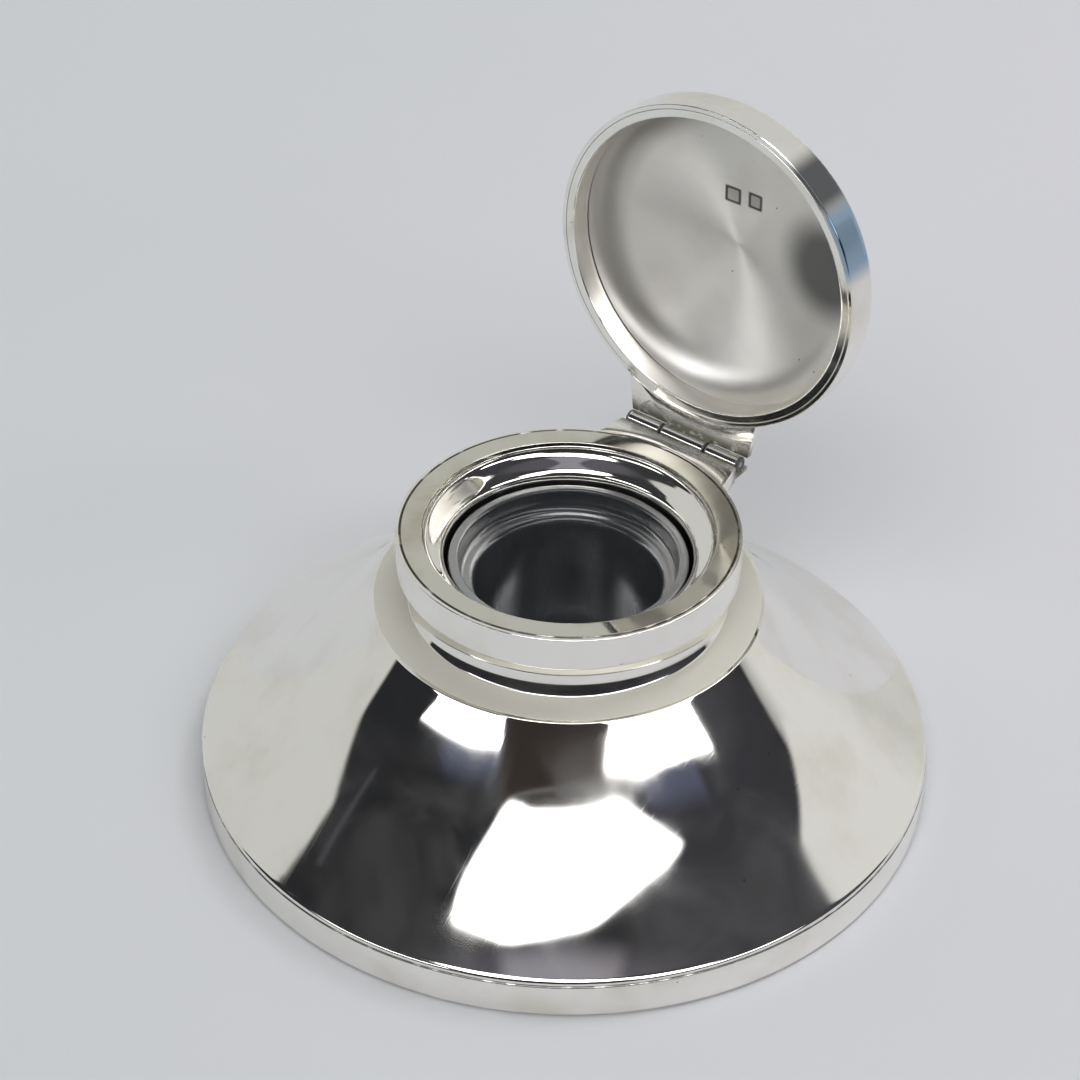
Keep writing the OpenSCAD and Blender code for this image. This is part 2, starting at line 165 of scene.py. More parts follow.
# %% World
WINDOW = (5.2, 5.2, 5.3, 1)
SKYLIGHT = (5.0, 5.0, 5.1, 1)
room = shade("C9CAC8")
RIGHT_WALL = shade("D8D8D6")
ROOM_PATCHES = [
    # the backdrop is paler on the right
    ([(140, -90), (168, -90), (168, 90), (140, 90)], 8, RIGHT_WALL),
    # the dark end of the studio, and the backdrop's wavy edges on both sides of it
    ([(-63, 0), (138, 0), (138, 110), (-74, 110)], 1.2, shade("27282B")),
    ([(84, 8), (138, 0), (138, 80), (70, 70)], 9, shade("38383D")),
    ([(146, 10), (146, 47), (137, 47), (131, 41), (128, 35), (128.5, 31), (134.5, 22), (140, 12)], 1, RIGHT_WALL),
    ([(-73, 12), (-65, 12), (-60, 21), (-57, 29), (-60, 36), (-66, 43), (-73, 43)], 1, room),
    # the ceiling, paler higher up and palest just over the camera
    ([(-85, 66), (150, 66), (150, 120), (-85, 120)], 5, shade("55535B")),
    ([(8, 66), (66, 66), (72, 110), (2, 110)], 5, shade("8E8C95")),
    # brown floor between the windows, and a thin cable on the left
    ([(-2, 24), (62, 24), (66, 37), (8, 39)], 1.5, shade("35302E")),
    ([(-57, 41), (-48.5, 25), (-47.5, 25.5), (-55, 41.5)], 0.8, shade("45464D")),
    # the windows' glow in the haze of the glass
    ([(-26, 24), (6, 29), (3, 34), (-20, 30)], 2.5, shade("4E546A")),
    ([(68, 33), (97, 26), (100, 31), (76, 37)], 2.5, shade("54586C")),
    # two strip windows
    ([(-38, 20.5), (-30, 18.5), (4, 27), (4, 30.5), (-12, 28.2), (-28, 24)], 0.5, WINDOW),
    ([(60, 27.5), (102, 18.5), (108, 23.3), (90, 28.8), (72, 33), (55, 33.8)], 0.5, WINDOW),
    # the soft light overhead, and a bulge in its lower edge
    ([(-10, 58), (-5, 49), (10, 38.3), (62, 37.2), (86, 41), (84, 43), (50, 60), (25, 63.5), (10, 64)], 1.5, WINDOW),
    ([(10, 37), (62, 36), (54, 38.6), (36, 40), (20, 39.6)], 0.8, shade("3A3838")),
    # the skylight behind
    ([(141, 52), (178, 44), (178, 82), (141, 82)], 2, SKYLIGHT),
]
for corners, softness, colour in ROOM_PATCHES:
    room = add(sky, "Mix", {"Factor": patch(corners, softness), "A": room, "B": colour}, data_type="RGBA")

seen_room = add(sky, "Background", {"Color": room, "Strength": 1})
backdrop = add(sky, "Background", {"Color": shade("CCCDCE"), "Strength": 1})
add(sky, "OutputWorld", {"Surface": add(sky, "MixShader", {
    0: add(sky, "LightPath").outputs["Is Camera Ray"], 1: seen_room, 2: backdrop})})
print("studio nodes:", len(sky.nodes))

# %% [markdown]
# ## The table
#
# The stand rests on a pale matt sheet. It runs far to the back and left, and it ends near the stand at the front and
# right, where upright silver shows the dark studio beyond its edge. Real paper is never quite even, so a wide soft
# noise shifts its colour, and a painted light makes it a little paler to the right. It is staging, not a piece.

# %% Table
TABLE_WIDTH, TABLE_FRONT = 3.4, 0.5

sheet = bmesh.new()
bmesh.ops.create_grid(sheet, x_segments=1, y_segments=1, size=TABLE_WIDTH / 2)
bmesh.ops.translate(sheet, verts=sheet.verts, vec=(TABLE_FRONT - TABLE_WIDTH / 2, TABLE_WIDTH / 2 - TABLE_FRONT, 0))
table_mesh = bpy.data.meshes.new("table")
sheet.to_mesh(table_mesh)
sheet.free()
table = bpy.data.objects.new("table", table_mesh)
bpy.context.scene.collection.objects.link(table)

# Matt card: rolled paper, so it scatters light evenly and shows no highlight.
matt_card = bpy.data.materials.new("matt_card")
matt_card.use_nodes = True
card = matt_card.node_tree
card.nodes.clear()
spot = add(card, "TexCoord").outputs["Object"]
# painted light: the sheet's colour grows paler towards the right
across = add(card, "VectorMath", {0: spot, 1: (level.x, level.y, 0)}, operation="DOT_PRODUCT")
painted_light_to_right = add(card, "MapRange", {"Value": across, "From Min": -0.13, "From Max": 0.13})
blotch = add(card, "TexNoise", {"Vector": spot, "Scale": 7, "Detail": 3})
uneven = add(card, "MapRange", {"Value": blotch, "From Min": 0.3, "From Max": 0.7, "To Min": -0.12, "To Max": 0.12})
card_colour = add(card, "Mix", {"Factor": add(card, "Math", {0: painted_light_to_right, 1: uneven}, operation="ADD"),
                                "A": shade("C8CBCC"), "B": shade("D1D1D4")}, data_type="RGBA")
add(card, "OutputMaterial", {"Surface": add(card, "BsdfDiffuse", {"Color": card_colour})})
table_mesh.materials.append(matt_card)

# %% [markdown]
# ## Drawing a section
#
# A spun piece is known by its section. The section is a list of corners, as radius and
# height in millimetres, with an optional rounding, because silver never has a truly sharp
# edge. A Vector between two corners bends the line towards it. Blender's own Bezier
# function fills in the points. On a straight line it crowds them at both ends, and that
# keeps the shading of a rounded corner from spreading into the flat beside it.

# %% Section
def section(*steps, closed=False):
    """Points of a turned section through (radius, height, rounding) corners."""
    corners = [step for step in steps if isinstance(step, tuple)]
    spots = [Vector((step[0], 0, step[1])) for step in corners]
    pulls = {}
    for i, step in enumerate(steps):
        if isinstance(step, Vector):
            before = sum(isinstance(other, tuple) for other in steps[:i]) - 1
            pulls[before] = Vector((step[0], 0, step[1]))
    count = len(corners)
    legs = []
    for i in range(count if closed else count - 1):
        start, end = spots[i], spots[(i + 1) % count]
        pull = pulls.get(i)
        handles = (start, end) if pull is None else (start.lerp(pull, 2 / 3), end.lerp(pull, 2 / 3))
        leg = interpolate_bezier(start, *handles, end, 12 if pull is None else 12 + int((end - start).length * 2))
        for which, corner in ((0, i), (-1, (i + 1) % count)):
            rounding = corners[corner][2] if len(corners[corner]) > 2 else 0
            if rounding and (closed or 0 < corner < count - 1):
                leg = trim(leg, spots[corner], rounding, which)
        legs.append(leg)
    line = []
    for i, leg in enumerate(legs):
        line += leg if not line else leg[0 if (leg[0] - line[-1]).length > 1e-6 else 1:]
        following = legs[(i + 1) % len(legs)]
        if (following[0] - leg[-1]).length > 1e-6 and (closed or i < len(legs) - 1):
            corner = spots[(i + 1) % count]
            line += interpolate_bezier(leg[-1], leg[-1].lerp(corner, 0.6), following[0].lerp(corner, 0.6),
                                       following[0], 7)[1:]
    if closed and (line[0] - line[-1]).length < 1e-6:
        line.pop()
    return line


def trim(leg, corner, rounding, end):
    """Cut a leg short, so that a rounding fits between it and the next one."""
    leg = leg if end == 0 else leg[::-1]
    first = next(i for i, point in enumerate(leg) if (point - corner).length > rounding)
    near, far = (leg[first - 1] - corner).length, (leg[first] - corner).length
    cut = leg[first - 1].lerp(leg[first], (rounding - near) / (far - near))
    leg = [cut] + leg[first:]
    return leg if end == 0 else leg[::-1]


# %% [markdown]
# ## The lathe
#
# Spin turns the section about the axis. A few hundred steps look round even where a
# straight reflection crosses the metal. Sheet pieces get only one face here: a Solidify
# modifier gives them their thickness afterwards, on the side away from their normals.

# %% Lathe
def lathe(name, line, place=Matrix(), closed=False, steps=256):
    """Turn a section about the axis and make it an object whose place is in its mesh."""
    shape = bmesh.new()
    spots = [shape.verts.new(point * MM) for point in line]
    pairs = list(zip(spots, spots[1:])) + ([(spots[-1], spots[0])] if closed else [])
    edges = [shape.edges.new(pair) for pair in pairs]
    bmesh.ops.spin(shape, geom=spots + edges, cent=(0, 0, 0), axis=(0, 0, 1), angle=math.tau,
                   steps=steps, use_merge=True, use_normal_flip=False, use_duplicate=False)
    bmesh.ops.remove_doubles(shape, verts=shape.verts, dist=1e-7)
    bmesh.ops.recalc_face_normals(shape, faces=shape.faces)
    bmesh.ops.transform(shape, matrix=place, verts=shape.verts)
    return finished(name, shape)


def finished(name, shape):
    """Write a bmesh into a smooth-shaded object."""
    mesh = bpy.data.meshes.new(name)
    shape.to_mesh(mesh)
    shape.free()
    mesh.shade_smooth()
    piece = bpy.data.objects.new(name, mesh)
    bpy.context.scene.collection.objects.link(piece)
    print(name, "faces:", len(mesh.polygons))
    return piece


def outwards(piece, toward):
    """Turn a sheet's faces over if they look away from the side that should be seen."""
    shape = bmesh.new()
    shape.from_mesh(piece.data)
    shape.faces.ensure_lookup_table()
    face = shape.faces[0]
    if face.normal.dot(toward(face.calc_center_median())) < 0:
        bmesh.ops.reverse_faces(shape, faces=shape.faces)
    shape.to_mesh(piece.data)
    shape.free()


def thicken(piece, wall):
    """Give spun sheet its thickness on the side away from its normals."""
    shell = piece.modifiers.new("sheet", "SOLIDIFY")
    shell.thickness = wall
    shell.offset = -1
    shell.use_even_offset = True


# %% [markdown]
# ## The foot band
#
# A strip of silver stands upright round the foot, and its lower edge turns in under the
# base board. It is solid in section, so the section is drawn closed.

# %% Foot band
foot_band = lathe("foot_band_spun", section(
    (63.9, 6.9), (65.0, 6.9, 0.4), (65.0, 0.3, 0.35), (62.5, 0.3, 0.2), (62.5, 1.0), (63.9, 1.0),
    closed=True), closed=True)

# %% [markdown]
# ## The body
#
# The body is thin sheet, so only its outer face is drawn. The slope leaves the shoulder
# steeply and flattens towards the foot, where it rolls over on to the band. The neck, with
# its cove and flat ledge, is a second spinning, and it meets the body just inside the
# crease.

# %% Body and neck
SHEET = 0.8 * MM
CREASE = (34.3, 37.6)
LEDGE_SEAM = (33.7, 37.61)
ROLL_TOP = (64.1, 8.25)
slope_top, slope_foot = math.radians(55), math.radians(31)
# the slope's two end directions meet here
slope_run = (((ROLL_TOP[0] - CREASE[0]) * math.sin(slope_foot) + (ROLL_TOP[1] - CREASE[1]) * math.cos(slope_foot))
             / (math.cos(slope_top) * math.sin(slope_foot) - math.sin(slope_top) * math.cos(slope_foot)))
slope_pull = Vector((CREASE[0] + slope_run * math.cos(slope_top), CREASE[1] - slope_run * math.sin(slope_top)))
print("slope is pulled towards, mm:", [round(value, 2) for value in slope_pull])

body_shell = lathe("body_spun", section(
    LEDGE_SEAM, (*CREASE, 0.12), slope_pull, ROLL_TOP, Vector((64.9, 7.77)), (64.9, 7.25), (64.9, 6.9)))
neck_ring = lathe("neck_spun", section(
    (26.4, 45.0), (26.4, 42.3), Vector((26.4, 39.76)), (27.9, 37.7), LEDGE_SEAM))
for piece in (body_shell, neck_ring):
    outwards(piece, lambda centre: Vector((centre.x, centre.y, 0.02)))
    thicken(piece, SHEET)

# %% [markdown]
# ## The collar and the throat
#
# The collar is a box section made of two strips. Its top plate sits inside the band, and
# the joint between them is the fine dark line that runs round its edge. The throat leads
# from the top plate down to the glass in a double curve.

# %% Collar and throat
collar_band = lathe("collar_band_spun", section(
    (29.1, 51.65), (29.9, 51.65, 0.25), (29.9, 45.0, 0.6), (26.05, 45.0), (26.05, 45.8), (29.1, 45.8),
    closed=True), closed=True)
collar_top = lathe("collar_top_spun", section(
    (25.3, 50.9), (25.3, 51.7, 0.2), (29.05, 51.7, 0.25), (29.05, 50.9), closed=True), closed=True)

throat_curve = interpolate_bezier(Vector((25.3, 0, 50.9)), Vector((24.9, 0, 48.2)), Vector((21.5, 0, 48.875)),
                                  Vector((21.5, 0, 46.05)), 40)
throat_skirt = interpolate_bezier(Vector((21.5, 0, 46.05)), Vector((21.5, 0, 45)), Vector((21.5, 0, 44)),
                                  Vector((21.5, 0, 43.05)), 8)
throat_ring = lathe("throat_spun", throat_curve + throat_skirt[1:])
outwards(throat_ring, lambda centre: Vector((-centre.x, -centre.y, 0.01)))
thicken(throat_ring, SHEET)

# %% [markdown]
# ## The lid
#
# The lid is drawn shut, as it was made, and then one matrix swings it open about the hinge
# pin. It has three parts: the dome, a bezel soldered inside the rim, and the leaf that
# carries the middle knuckle. The dome's section runs from the centre of its back round the
# rim to the centre of its dished inside. That inside has its own satin finish, so the faces
# that look into the lid get the second material.

# %% Lid
HINGE = Vector((0, 34.9, 50.42)) * MM
LID_SEAT = 51.78
LID_OPEN = math.radians(-92.9)
opened = Matrix.Translation(HINGE) @ Matrix.Rotation(LID_OPEN, 4, "X") @ Matrix.Translation(-HINGE)
lid_place = opened @ Matrix.Translation((0, 0, LID_SEAT * MM))
lid_centre = lid_place @ Vector((0, 0, 0))

lid_dome = lathe("lid_dome_spun", section(
    (0, 11.8), Vector((13.45, 11.8)), (26.9, 8.4), Vector((30.2, 7.566)), (30.2, 5.4), (30.2, 0, 0.25),
    (29.3, 0, 0.12), (29.3, 4.7), (27.9, 4.7, 0.1), Vector((26.5, 7.67)), (22.5, 8.52), Vector((11.25, 10.9)),
    (0, 10.9)), lid_place)
shut = lid_place.inverted()
below_seat = Vector((0, 0, 5)) * MM
for face in lid_dome.data.polygons:
    outward = (shut @ face.center + below_seat).normalized()
    face.material_index = int((shut.to_3x3() @ face.normal).dot(outward) < -0.3)

lid_bezel = lathe("lid_bezel_spun", section(
    (27.75, 0.0, 0.3), (29.3, 0.0, 0.12), (29.3, 0.9), (28.4, 0.9), (28.4, 4.0), (27.75, 4.3, 0.1),
    closed=True), lid_place, closed=True)

# %% [markdown]
# ## The hinge
#
# Three knuckles share one pin. Each is a short tube, so it is a small closed section turned
# about the pin's line. The plate and the leaf are cut to fit the collar and the barrel: the
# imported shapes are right, so a copy of each is merged and its edges are softened.

# %% Knuckles and pin
pin_place = Matrix.Translation(HINGE) @ Matrix.Rotation(math.pi / 2, 4, "Y")
PIN, BORE, BARREL = 0.6, 0.65, 1.45


def knuckle(name, start, end, bore):
    """A tube about the hinge pin, from one place along it to another."""
    return lathe(name, section((bore, start), (BARREL, start, 0.2), (BARREL, end, 0.2), (bore, end), closed=True),
                 pin_place, closed=True, steps=96)


knuckle_left = knuckle("knuckle_left_turned", -12.0, -4.82, PIN)
knuckle_right = knuckle("knuckle_right_turned", 4.82, 12.0, PIN)
knuckle_middle = knuckle("knuckle_middle_turned", -4.7, 4.7, BORE)
hinge_pin = lathe("hinge_pin_turned", section((0, -12.0), (PIN, -12.0, 0.2), (PIN, 12.0, 0.2), (0, 12.0)),
                  pin_place, steps=64)


# %% Plate and leaf
def softened(name, node, width):
    """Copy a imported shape, merge its loose triangles and round its edges."""
    shape = bmesh.new()
    shape.from_mesh(bpy.data.objects[node].data)
    bmesh.ops.remove_doubles(shape, verts=shape.verts, dist=1e-6)
    bmesh.ops.dissolve_limit(shape, angle_limit=math.radians(0.5), verts=shape.verts, edges=shape.edges)
    sharp = [edge for edge in shape.edges if edge.is_manifold and edge.calc_face_angle() > math.radians(35)]
    bmesh.ops.bevel(shape, geom=sharp, offset=width, offset_type="OFFSET", segments=2, affect="EDGES",
                    profile=0.5, material=-1, clamp_overlap=True)
    piece = finished(name, shape)
    piece.data.set_sharp_from_angle(angle=math.radians(40))
    return piece


hinge_plate = softened("hinge_plate_filed", "hinge_plate", 0.12 * MM)
lid_leaf = softened("lid_leaf_filed", "lid_leaf", 0.12 * MM)

# %% [markdown]
# ## The glass liner
#
# The liner is pressed glass with a thick floor. It is one closed section that touches the
# axis twice, so both poles are merged into single points.

# %% Glass liner
glass_liner = lathe("glass_liner_pressed", section(
    (0, 9.0), (18.6, 9.0, 1.2), (18.6, 39.25), Vector((18.6, 40.4)), (19.75, 40.55), Vector((20.9, 40.7)),
    (20.9, 41.9), (20.9, 45.85, 0.6), (19.0, 45.85, 0.6), (19.0, 43.2), Vector((19.0, 41.7)),
    (17.7, 41.6), Vector((16.2, 41.5)), (16.2, 39.6), (16.2, 13.0, 5.0), (0, 13.0)), steps=192)
outwards(glass_liner, lambda centre: centre - Vector((0, 0, 0.011)))

# %% [markdown]
# ## The cloth pad
#
# A disc of green baize keeps the foot from scratching the desk. It is a flat cut of woolen
# cloth, glued to the board, with a slightly soft edge.

# %% Cloth pad
PAD_RADIUS, PAD_THICKNESS = 62.0, 1.0
cloth_pad = lathe("cloth_pad_cut", section(
    (0, 0), (PAD_RADIUS, 0, 0.3), (PAD_RADIUS, PAD_THICKNESS, 0.3), (0, PAD_THICKNESS)), steps=192)

# %% [markdown]
# ## The marks of use on silver
#
# Polished silver is bright and very faintly warm, and it mirrors the room. What makes it
# look real is what isn't perfect. Each flaw below is one function that returns a mask or a
# value, at its own real size in millimetres: tarnish in patches, a soft haze of handling,
# hair-fine scratches, pin-point spots, and dirt where a cloth doesn't reach.

# %% Masks for the flaws
PER_METRE = 1000


def ramp(tree, value, low, high, start=0.0, end=1.0):
    """Ease from start to end while a value goes from low to high."""
    return add(tree, "MapRange", {"Value": value, "From Min": low, "From Max": high, "To Min": start, "To Max": end},
               interpolation_type="SMOOTHSTEP")


def times(tree, first, second):
    return add(tree, "Math", {0: first, 1: second}, operation="MULTIPLY")


def hair_scratches(tree, where):
    """Scratches a quarter of a millimetre apart and some 20 mm long, in two directions."""
    marks = None
    for turned in ((0.3, 0.2, 0.4), (1.1, 0.5, 1.9)):
        run = add(tree, "Mapping", {"Vector": where, "Rotation": turned, "Scale": (PER_METRE / 0.25, 50, 50)})
        thin = ramp(tree, add(tree, "TexNoise", {"Vector": run, "Scale": 1, "Detail": 0}), 0.68, 0.8)
        marks = thin if marks is None else add(tree, "Math", {0: marks, 1: thin}, operation="MAXIMUM")
    return marks


def pin_spots(tree, where):
    """Dark specks a quarter of a millimetre wide, in one of every six cells of 4 mm."""
    cells = add(tree, "TexVoronoi", {"Vector": where, "Scale": PER_METRE / 4})
    chosen = add(tree, "Math", {0: add(tree, "SeparateColor", {0: cells.outputs["Color"]}), 1: 0.83},
                 operation="GREATER_THAN")
    return times(tree, chosen, ramp(tree, cells.outputs["Distance"], 0.025, 0.05, 1, 0))


def from_axis(tree, where):
    """Distance from the turning axis, and the height along it."""
    parts = add(tree, "SeparateXYZ", {0: where})
    flat = add(tree, "VectorMath", {0: where, 1: (1, 1, 0)}, operation="MULTIPLY")
    radius = add(tree, "VectorMath", {0: flat}, operation="LENGTH")
    return radius.outputs["Value"], parts.outputs["Z"]


def dirt_ring(tree, where, radius, height, reach):
    """Dirt in a joint that runs round the axis, all in millimetres."""
    out, high = from_axis(tree, where)
    spot = add(tree, "CombineXYZ", {"X": out, "Y": high})
    gap = add(tree, "VectorMath", {0: spot, 1: (radius * MM, height * MM, 0)}, operation="DISTANCE")
    left = add(tree, "TexNoise", {"Vector": where, "Scale": PER_METRE / 3, "Detail": 3})
    return times(tree, ramp(tree, gap.outputs["Value"], reach * 0.5 * MM, reach * MM, 1, 0),
                 ramp(tree, left, 0.35, 0.5, 0.35, 1))


# %% [markdown]
# ## Silver
#
# One function makes every silver finish, because all of the pieces are sterling silver and differ only in how they were
# polished, how worn they are, and the shade and reflections painted on some of them. It lays the flaws over each other:
# colour first, then roughness, then the fine bumps.

# %% Silver
def silver(name, colour="F8F6F1", tarnish="CDC3A9", tarnished=0.25, polish=0.035, haze=0.1, waver=0.05,
           dust=0.03, rings=(), matt_ledge=None, brushed_and_painted_shade=None, punched=(), painted_reflection_band=False, barrel_dirt_and_shade=0.0, seams=()):
    """Sterling silver; polish and haze are roughnesses, waver is the sheet's unevenness in mm."""
    material = bpy.data.materials.new(name)
    material.use_nodes = True
    tree = material.node_tree
    tree.nodes.clear()
    where = add(tree, "TexCoord").outputs["Object"]
    local = where
    if brushed_and_painted_shade or painted_reflection_band:
        local = add(tree, "Mapping", {"Vector": where, "Location": lid_centre, "Rotation": (LID_OPEN, 0, 0)},
                    vector_type="TEXTURE").outputs[0]

    # tarnish gathers in patches some 14 mm wide
    patches = add(tree, "TexNoise", {"Vector": where, "Scale": PER_METRE / 14, "Detail": 4, "Roughness": 0.55})
    stained = ramp(tree, patches, 0.42, 0.75, 0, tarnished)
    hue = add(tree, "Mix", {"Factor": stained, "A": shade(colour), "B": shade(tarnish)}, data_type="RGBA")
    hue = add(tree, "Mix", {"Factor": pin_spots(tree, where), "A": hue, "B": shade("5E564A")}, data_type="RGBA")

    # haze of handling, in smears 18 mm wide
    smears = add(tree, "TexNoise", {"Vector": where, "Scale": PER_METRE / 18, "Detail": 3, "Distortion": 0.8})
    roughness = ramp(tree, smears, 0.35, 0.72, polish, haze)

    # the sheet's own unevenness: soft dents 22 mm apart, and planishing marks 5 mm apart
    dents = add(tree, "TexNoise", {"Vector": where, "Scale": PER_METRE / 22, "Detail": 1})
    bump = add(tree, "Bump", {"Height": dents, "Strength": 1, "Distance": waver * MM})
    marks = add(tree, "TexNoise", {"Vector": where, "Scale": PER_METRE / 5, "Detail": 0})
    bump = add(tree, "Bump", {"Height": marks, "Strength": 1, "Distance": waver * 0.06 * MM, "Normal": bump})
    scratches = hair_scratches(tree, where)
    bump = add(tree, "Bump", {"Height": scratches, "Strength": 1, "Distance": 0.0005 * MM, "Normal": bump})

    # settled dust dulls the mirror by two or three parts in a hundred
    mirror = ramp(tree, smears, 0.35, 0.7, 1, 1 - dust)

    if matt_ledge:
        # nobody polishes the ledge under the collar, so a grey-yellow film has dulled it
        out, high = from_axis(tree, where)
        on_ledge = ramp(tree, out, matt_ledge[0] * MM, matt_ledge[1] * MM)
        roughness = add(tree, "Mix", {"Factor": on_ledge, "A": roughness, "B": 0.5}, data_type="FLOAT")
        mirror = add(tree, "Mix", {"Factor": on_ledge, "A": mirror, "B": 0.35}, data_type="FLOAT")
        hue = add(tree, "Mix", {"Factor": on_ledge, "A": hue, "B": shade("D6D4C9")}, data_type="RGBA")

    if painted_reflection_band:
        # a painted reflection: the rim's outer wall is painted dark in one place and pale blue beside it
        out, high = from_axis(tree, local)
        on_wall = ramp(tree, out, 28.6 * MM, 29.8 * MM)
        sides = add(tree, "SeparateXYZ", {0: local})
        upwards = times(tree, sides.outputs["Y"], -1)
        angle = add(tree, "Math", {0: upwards, 1: sides.outputs["X"]}, operation="ARCTAN2")
        degrees = add(tree, "Math", {0: angle}, operation="DEGREES")
        for begin, end, tint in ((17, 41, "97AFC7"), (41, 59, "656668")):
            here = times(tree, ramp(tree, degrees, begin - 4, begin + 4), ramp(tree, degrees, end - 4, end + 4, 1, 0))
            hue = add(tree, "Mix", {"Factor": times(tree, here, on_wall), "A": hue, "B": shade(tint)}, data_type="RGBA")

    if brushed_and_painted_shade:
        # a wire brush held to the turning lid left rings a fifth of a millimetre apart
        out, high = from_axis(tree, local)
        drift = add(tree, "SeparateXYZ", {0: local})
        rub = add(tree, "CombineXYZ", {
            "X": add(tree, "Math", {0: out, 1: PER_METRE / 0.2}, operation="MULTIPLY"),
            "Y": add(tree, "Math", {0: drift.outputs["X"], 1: 70}, operation="MULTIPLY"),
            "Z": add(tree, "Math", {0: drift.outputs["Y"], 1: 70}, operation="MULTIPLY")})
        grooves = add(tree, "TexNoise", {"Vector": rub, "Scale": 1, "Detail": 3, "Roughness": 0.6})
        bump = add(tree, "Bump", {"Height": grooves, "Strength": 1, "Distance": brushed_and_painted_shade * MM, "Normal": bump})
        worn = add(tree, "TexNoise", {"Vector": local, "Scale": PER_METRE / 9, "Detail": 3})
        roughness = add(tree, "Math", {0: roughness, 1: ramp(tree, worn, 0.3, 0.7, -0.02, 0.02)}, operation="ADD")
        # painted shade: the curve inside the rim is darkened brown, more strongly towards the left
        painted_rim_shade = times(tree, ramp(tree, out, 21 * MM, 26.5 * MM), ramp(tree, drift.outputs["X"], -3 * MM, -17 * MM, 0, 0.6))
        hue = add(tree, "Mix", {"Factor": painted_rim_shade, "A": hue, "B": shade("6A655A")}, data_type="RGBA")
        # a painted dark reflection: a grey patch on the right of the dish, darkest at its middle
        from_painted_dark_patch = add(tree, "VectorMath", {0: local, 1: (19 * MM, -3 * MM, 8 * MM)}, operation="DISTANCE").outputs["Value"]
        hue = add(tree, "Mix", {"Factor": ramp(tree, from_painted_dark_patch, 5 * MM, 12 * MM, 0.9, 0), "A": hue,
                                "B": shade("6F6F70")}, data_type="RGBA")

    for x, y, half_width, half_height in punched:
        # a maker's punch sinks a small square field; nothing is written in it here
        spot = add(tree, "VectorMath", {0: local, 1: (x * MM, y * MM, 0)}, operation="SUBTRACT")
        parts = add(tree, "SeparateXYZ", {0: add(tree, "VectorMath", {0: spot}, operation="ABSOLUTE")})
        beside = add(tree, "Math", {0: parts.outputs["X"], 1: half_width * MM}, operation="SUBTRACT")
        above = add(tree, "Math", {0: parts.outputs["Y"], 1: half_height * MM}, operation="SUBTRACT")
        edge = add(tree, "Math", {0: beside, 1: above, 2: 0.5 * MM}, operation="SMOOTH_MAX")
        sunk = ramp(tree, edge, -0.3 * MM, 0.05 * MM, 0, 1)
        bump = add(tree, "Bump", {"Height": sunk, "Strength": 1, "Distance": 0.12 * MM, "Normal": bump})
        rim = ramp(tree, add(tree, "Math", {0: edge}, operation="ABSOLUTE"), 0.1 * MM, 0.45 * MM, 0.9, 0)
        field = ramp(tree, edge, -0.2 * MM, 0.1 * MM, 0.4, 0)
        hue = add(tree, "Mix", {"Factor": add(tree, "Math", {0: rim, 1: field}, operation="MAXIMUM"), "A": hue, "B": shade("3B3A36")}, data_type="RGBA")

    for radius, height, reach, strength in rings:
        dirt = times(tree, dirt_ring(tree, local, radius, height, reach), strength)
        hue = add(tree, "Mix", {"Factor": dirt, "A": hue, "B": shade("3A3024")}, data_type="RGBA")
        roughness = add(tree, "Mix", {"Factor": dirt, "A": roughness, "B": 0.26}, data_type="FLOAT")

    if barrel_dirt_and_shade:
        # green-grey dirt within a millimetre of the hinge's barrel, together with painted shade where the barrel meets
        # the plate and the leaf
        side = add(tree, "VectorMath", {0: where, 1: (0, 1, 1)}, operation="MULTIPLY")
        gap = add(tree, "VectorMath", {0: side, 1: HINGE}, operation="DISTANCE")
        left = add(tree, "TexNoise", {"Vector": where, "Scale": PER_METRE / 1.2, "Detail": 4})
        dirt = times(tree, ramp(tree, gap.outputs["Value"], 1.6 * MM, 4.5 * MM, barrel_dirt_and_shade, 0),
                     ramp(tree, left, 0.25, 0.5, 0.3, 1))
        hue = add(tree, "Mix", {"Factor": dirt, "A": hue, "B": shade("54543F")}, data_type="RGBA")
        roughness = add(tree, "Mix", {"Factor": dirt, "A": roughness, "B": 0.5}, data_type="FLOAT")
        mirror = add(tree, "Mix", {"Factor": dirt, "A": mirror, "B": 0.2}, data_type="FLOAT")

    for seam in seams:
        # black oil has crept out between the knuckles
        along = add(tree, "Math", {0: add(tree, "SeparateXYZ", {0: where}).outputs["X"]}, operation="ABSOLUTE")
        aside = add(tree, "Math", {0: add(tree, "Math", {0: along, 1: seam * MM}, operation="SUBTRACT")},
                    operation="ABSOLUTE")
        oil = ramp(tree, aside, 0.25 * MM, 0.6 * MM, 0.95, 0)
        hue = add(tree, "Mix", {"Factor": oil, "A": hue, "B": shade("26241F")}, data_type="RGBA")
        mirror = add(tree, "Mix", {"Factor": oil, "A": mirror, "B": 0.3}, data_type="FLOAT")

    surface = add(tree, "BsdfPrincipled", {"Base Color": hue, "Metallic": mirror, "Roughness": roughness,
                                           "Normal": bump})
    if brushed_and_painted_shade:
        # fine rings spread a reflection across themselves, that is, away from the lid's centre
        surface.inputs["Anisotropic"].default_value = 0.8
        surface.inputs["Anisotropic Rotation"].default_value = 0.35
        tree.links.new(add(tree, "VectorMath", {0: where, 1: lid_centre}, operation="SUBTRACT").outputs[0],
                       surface.inputs["Tangent"])
    add(tree, "OutputMaterial", {"Surface": surface})
    return material
